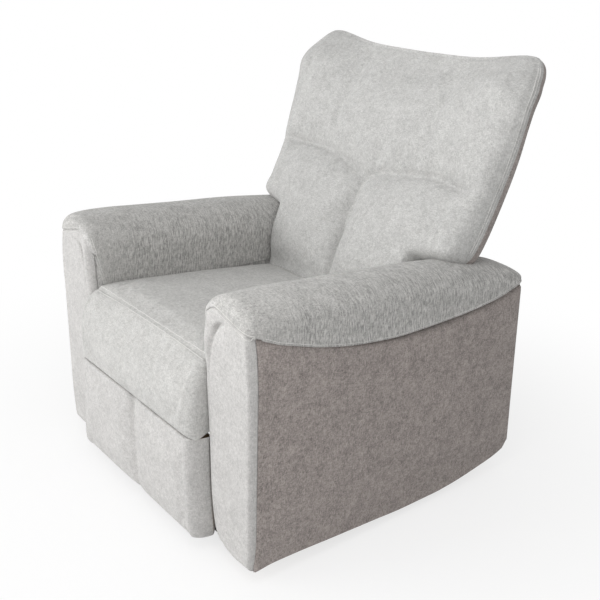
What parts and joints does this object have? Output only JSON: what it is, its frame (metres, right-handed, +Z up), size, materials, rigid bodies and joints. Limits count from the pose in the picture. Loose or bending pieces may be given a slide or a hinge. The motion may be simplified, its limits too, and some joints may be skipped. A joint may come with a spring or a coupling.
{
  "type": "recliner armchair",
  "caption": "Padded reclining armchair with wooden arm frames, a leaning hinged back and a footrest that swings out on a steel scissor linkage.",
  "frame": {"origin": "on the floor, under the middle of the whole chair", "axes": "+X towards the left arm of a person sitting in the chair, +Y from the front of the chair to its back, +Z up"},
  "size_m": [0.833, 0.9595, 1.0328],
  "materials": {
    "pad_cloth": "brushed melange weave, matt",
    "side_cloth": "plain melange weave, matt",
    "seat_cloth": "brushed melange weave, matt",
    "back_cloth": "brushed melange weave, matt",
    "front_cloth": "brushed melange weave, matt",
    "webbing": "ribbed elastic webbing",
    "pine": "sawn, unvarnished",
    "black_steel": "satin powder coat",
    "zinc_steel": "zinc plated",
    "black_plastic": "fine grain",
    "cable_sleeve": "smooth sleeve"
  },
  "bodies": {
    "chair_base": {"arm_rear_panels": "side_cloth", "back_hinge_pins": "zinc_steel", "cable_anchor": "zinc_steel", "floor_glides": "black_plastic", "front_cross_tube": "black_steel", "front_stretcher": "pine", "left_arm_frame": "pine", "left_arm_front_panel": "front_cloth", "left_arm_inner_panel": "pad_cloth", "left_arm_outer_panel": "side_cloth", "left_arm_pad": "pad_cloth", "lever_pin": "zinc_steel", "lever_return_spring": "zinc_steel", "rear_cross_tube": "black_steel", "rear_stretcher": "pine", "release_bezel": "black_plastic", "release_cable": "cable_sleeve", "right_arm_frame": "pine", "right_arm_front_panel": "front_cloth", "right_arm_inner_panel": "pad_cloth", "right_arm_outer_panel": "side_cloth", "right_arm_pad": "pad_cloth", "seat_bolts": "zinc_steel", "seat_cushion": "seat_cloth", "seat_frame": "pine", "seat_front_bolster": "front_cloth", "seat_springs": "zinc_steel", "side_plates": "black_steel", "spring_clips": "black_plastic", "spring_posts": "zinc_steel"},
    "back": {"back_frame": "pine", "back_webbing": "webbing", "back_lower_cover": "side_cloth", "back_upper_cover": "side_cloth", "back_brackets": "black_steel", "head_cushion": "back_cloth", "left_lumbar_cushion": "back_cloth", "right_lumbar_cushion": "back_cloth", "left_wing_pad": "back_cloth", "right_wing_pad": "back_cloth"},
    "drive_linkage": {"drive_links": "black_steel", "torque_tube": "black_steel", "drive_link_pins": "zinc_steel", "tail_posts": "zinc_steel", "footrest_springs": "zinc_steel"},
    "slotted_linkage": {"slotted_links": "black_steel", "knee_pins": "zinc_steel", "slot_pins": "zinc_steel"},
    "board_linkage": {"board_links": "black_steel", "board_link_pins": "zinc_steel"},
    "top_linkage": {"top_links": "black_steel", "control_link_pins": "zinc_steel"},
    "control_linkage": {"control_links": "black_steel"},
    "footrest": {"footrest_board": "pine", "left_footrest_cushion": "front_cloth", "right_footrest_cushion": "front_cloth", "footrest_brackets": "black_steel", "bracket_pins": "zinc_steel"},
    "lever": {"release_lever": "black_plastic"}
  },
  "joints": [
    {"name": "back_recline", "type": "hinge", "parent": "chair_base", "child": "back", "pos_m": [0, 0.24546, 0.39], "axis": [-1, 0, 0], "range_deg": [0, 25]},
    {"name": "footrest_drive", "type": "hinge", "parent": "chair_base", "child": "drive_linkage", "pos_m": [0, -0.30154, 0.2], "axis": [-1, 0, 0], "range_deg": [0, 64], "deforming": ["footrest_springs"]},
    {"name": "slotted_link_turn", "type": "hinge", "parent": "drive_linkage", "child": "slotted_linkage", "pos_m": [0, -0.33958, 0.11843], "axis": [-1, 0, 0], "range_deg": [-128, 0]},
    {"name": "board_link_turn", "type": "hinge", "parent": "drive_linkage", "child": "board_linkage", "pos_m": [0, -0.37761, 0.03687], "axis": [-1, 0, 0], "range_deg": [-128, 0]},
    {"name": "top_link_turn", "type": "hinge", "parent": "board_linkage", "child": "top_linkage", "pos_m": [0, -0.36977, 0.12652], "axis": [-1, 0, 0], "range_deg": [0, 128]},
    {"name": "control_link_turn", "type": "hinge", "parent": "top_linkage", "child": "control_linkage", "pos_m": [0, -0.38177, 0.10078], "axis": [-1, 0, 0], "range_deg": [-126.72, 0]},
    {"name": "footrest_turn", "type": "hinge", "parent": "board_linkage", "child": "footrest", "pos_m": [0, -0.36193, 0.21618], "axis": [-1, 0, 0], "range_deg": [0, 154]},
    {"name": "release_lever_pull", "type": "hinge", "parent": "chair_base", "child": "lever", "pos_m": [-0.4055, -0.10854, 0.392], "axis": [0, 0, 1], "range_deg": [0, 28], "stiffness_Nm_per_rad": 0.4, "springref_deg": -8.59}
  ],
  "couplings": [
    {"joint": "slotted_link_turn", "follows": "footrest_drive", "ratio": -2},
    {"joint": "board_link_turn", "follows": "footrest_drive", "ratio": -2},
    {"joint": "top_link_turn", "follows": "footrest_drive", "ratio": 2},
    {"joint": "control_link_turn", "follows": "footrest_drive", "ratio": -1.98},
    {"joint": "footrest_turn", "follows": "footrest_drive", "ratio": 2.4062}
  ]
}
